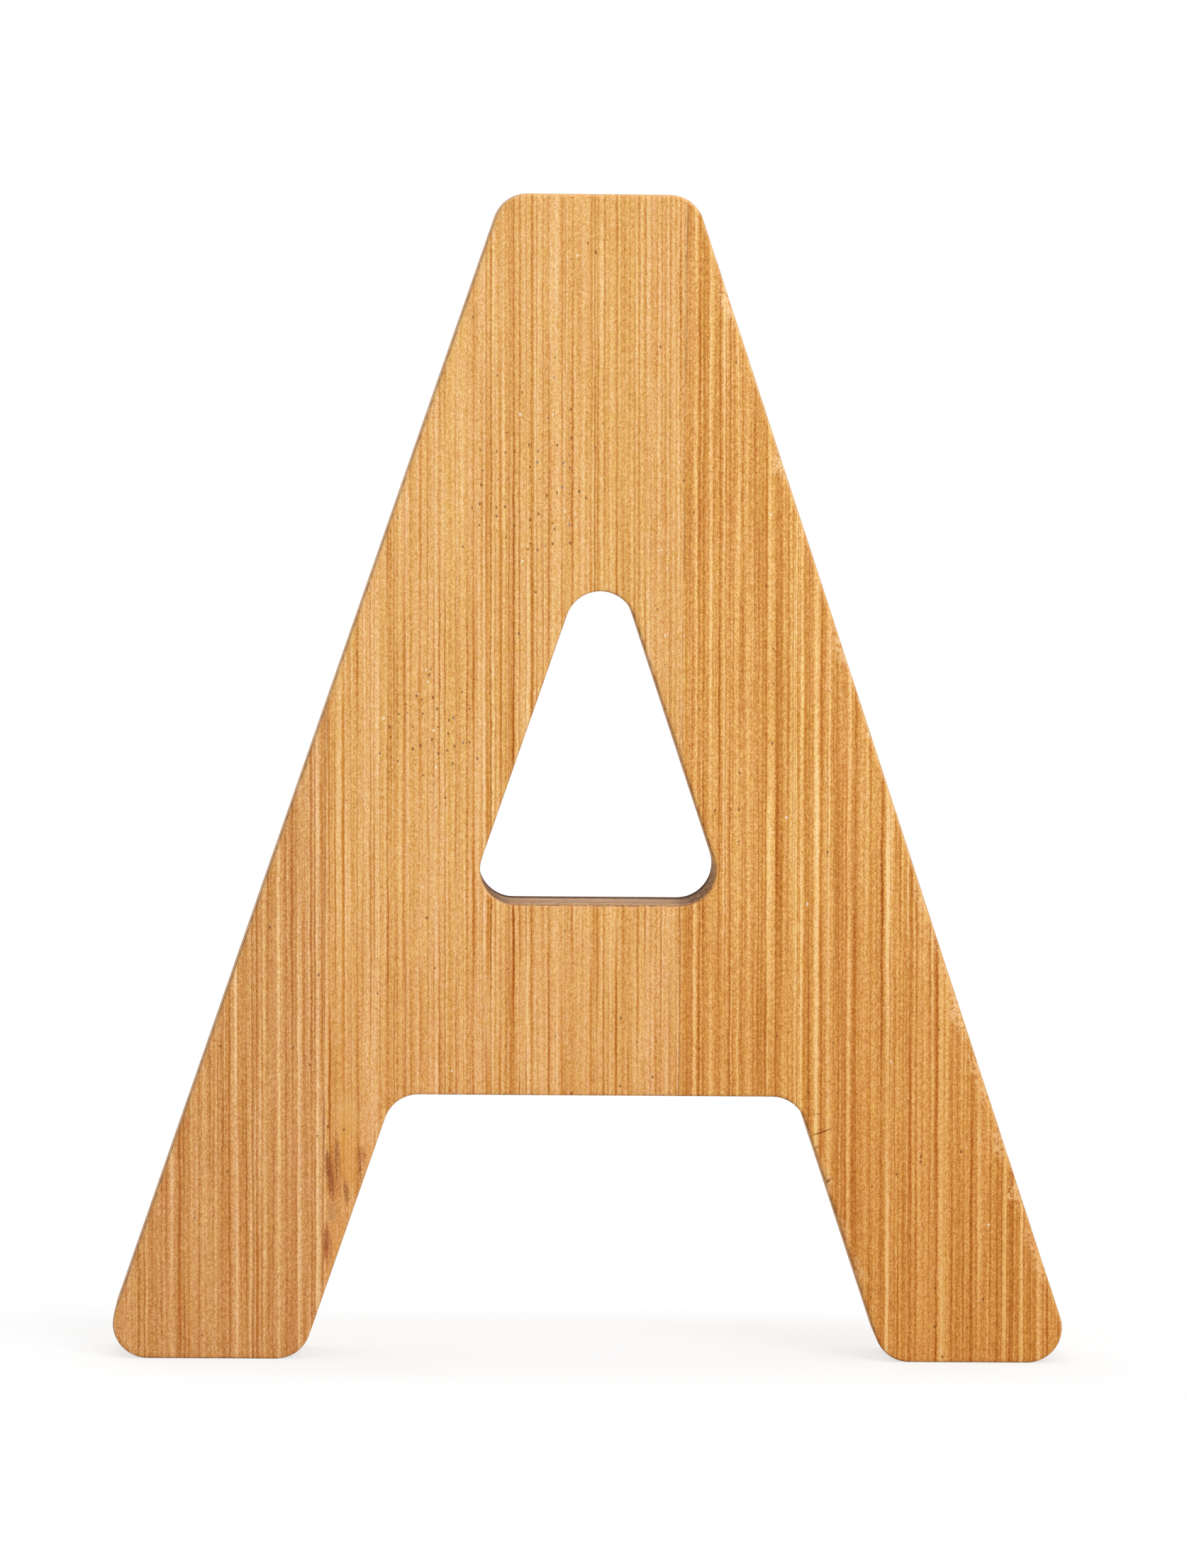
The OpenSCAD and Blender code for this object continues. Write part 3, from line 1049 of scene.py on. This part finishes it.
# Soft lights, each as name, place and width in metres, and power in watts
SOFTBOXES = (
    ("key_light", (0.18, -0.28, 0.26), 0.2, 0.62),
    ("back_light", (-0.18, 0.3, 0.28), 0.4, 0.35),
    ("top_light", (0, -0.01, 0.45), 0.3, 0.5),
)
# Camera: place, target, lens and sensor in millimetres, roll in degrees, and near limit in metres
CAMERA_PLACE = (-12.0, -386.1, 60.2)
CAMERA_TARGET = (-0.02, -2.5, 29.85)
CAMERA_LENS = 172.4
CAMERA_SENSOR = 36
CAMERA_ROLL = 0.58
CAMERA_NEAR = 0.01


def seen_rays(tree):
    """1 for rays that show the background: from the camera, by reflection or through glass."""
    path = tree.nodes.new("ShaderNodeLightPath")
    result = path.outputs["Is Camera Ray"]
    for name in ("Is Glossy Ray", "Is Transmission Ray"):
        either = tree.nodes.new("ShaderNodeMath")
        either.operation = "MAXIMUM"
        tree.links.new(result, either.inputs[0])
        tree.links.new(path.outputs[name], either.inputs[1])
        result = either.outputs[0]
    return result


def white_world():
    """White where it is seen, and an even soft light on the object."""
    world = bpy.data.worlds.new("studio")
    bpy.context.scene.world = world
    world.use_nodes = True
    tree = world.node_tree
    background = tree.nodes["Background"]
    background.inputs["Color"].default_value = WHITE
    strength = tree.nodes.new("ShaderNodeMapRange")
    strength.inputs["To Min"].default_value = AMBIENT
    tree.links.new(seen_rays(tree), strength.inputs["Value"])
    tree.links.new(strength.outputs[0], background.inputs["Strength"])


def floor_material():
    """White that shows the letter's shadow near its feet and is plain further off."""
    shader = Shader("white_floor")
    x, y, _ = shader.split(shader.add("ShaderNodeTexCoord").outputs["Object"])
    beside = shader.total(shader.absolute(x), -cad_box[1].x)
    before = shader.absolute(shader.total(y, -SHADOW_MIDDLE_Y))
    white_share = shader.remap(shader.largest(beside, before), SHADOW_NEAR, SHADOW_FAR)
    paint = shader.add("ShaderNodeBsdfDiffuse", {"Color": FLOOR_PAINT})
    shaded = shader.add("ShaderNodeBsdfDiffuse", {"Color": SHADED_PAINT})
    glow = shader.add("ShaderNodeEmission", {"Color": WHITE, "Strength": SHADED_GLOW})
    white = shader.add("ShaderNodeEmission", {"Color": WHITE, "Strength": 1.0})
    near = shader.add("ShaderNodeAddShader", {0: shaded.outputs[0], 1: glow.outputs[0]})
    seen = shader.add("ShaderNodeMixShader", {0: white_share, 1: near.outputs[0], 2: white.outputs[0]})
    surface = shader.add(
        "ShaderNodeMixShader", {0: seen_rays(shader.tree), 1: paint.outputs[0], 2: seen.outputs[0]})
    shader.add("ShaderNodeOutputMaterial", {"Surface": surface.outputs[0]})
    return shader.material


def floor():
    """Wide flat floor under the letter."""
    mesh = bpy.data.meshes.new("floor")
    corners = [(x * FLOOR_REACH, y * FLOOR_REACH, 0) for x, y in ((-1, -1), (1, -1), (1, 1), (-1, 1))]
    mesh.from_pydata(corners, [], [(0, 1, 2, 3)])
    mesh.materials.append(floor_material())
    piece = bpy.data.objects.new("floor", mesh)
    bpy.context.scene.collection.objects.link(piece)


def softbox(name, place, target, size, power):
    """Square soft light at a place, turned to a target."""
    light = bpy.data.lights.new(name, "AREA")
    light.size = size
    light.energy = power
    lamp = bpy.data.objects.new(name, light)
    lamp.location = place
    lamp.rotation_euler = (target - place).to_track_quat("-Z", "Y").to_euler()
    bpy.context.scene.collection.objects.link(lamp)


def photo_camera():
    """Camera in front of the letter, a little above its middle and left of it."""
    place = Vector(CAMERA_PLACE) * MM
    target = Vector(CAMERA_TARGET) * MM
    roll = Quaternion((0, 0, 1), math.radians(CAMERA_ROLL))
    data = bpy.data.cameras.new("photo_camera")
    data.sensor_fit = "AUTO"
    data.sensor_width = CAMERA_SENSOR
    data.lens = CAMERA_LENS
    data.clip_start = CAMERA_NEAR
    camera = bpy.data.objects.new("photo_camera", data)
    camera.location = place
    camera.rotation_euler = ((target - place).to_track_quat("-Z", "Y") @ roll).to_euler()
    bpy.context.scene.collection.objects.link(camera)
    bpy.context.scene.camera = camera


# The scene
bpy.context.scene.view_settings.view_transform = "Standard"

front_seams = [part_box(name)[0].x for name in FRONT[1:]]
back_seams = [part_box(name)[0].x for name in BACK[1:]]
front_materials = (
    bamboo("bamboo_front_left", LEFT_LOOK, FRONT_SEEDS[0], front_seams[:1]),
    bamboo("bamboo_front_middle", MIDDLE_LOOK, FRONT_SEEDS[1], front_seams, MIDDLE_MARKS),
    bamboo("bamboo_front_right", RIGHT_LOOK, FRONT_SEEDS[2], front_seams[1:], RIGHT_MARKS),
)
back_materials = [
    bamboo("bamboo_" + node, back_look(node, tones, seed), seed, back_seams)
    for seed, (node, tones) in enumerate(zip(BACK, BACK_TONES), FIRST_BACK_SEED)
]
core_material = bamboo("bamboo_core", CORE_LOOK, CORE_SEED, fibres_run="X")

place_ply(FRONT, FRONT_Y, FRONT_GLUE_Y, FRONT_WEAR_SEED, FRONT_CHIPS, front_materials)
place_ply(BACK, BACK_Y, BACK_GLUE_Y, BACK_WEAR_SEED, (), back_materials)
for node in CORE:
    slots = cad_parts[node].data.materials
    slots.clear()
    slots.append(core_material)

floor()
white_world()
letter_middle = Vector((0, 0, LETTER_H / 2))
for name, place, size, power in SOFTBOXES:
    softbox(name, Vector(place), letter_middle, size, power)
photo_camera()
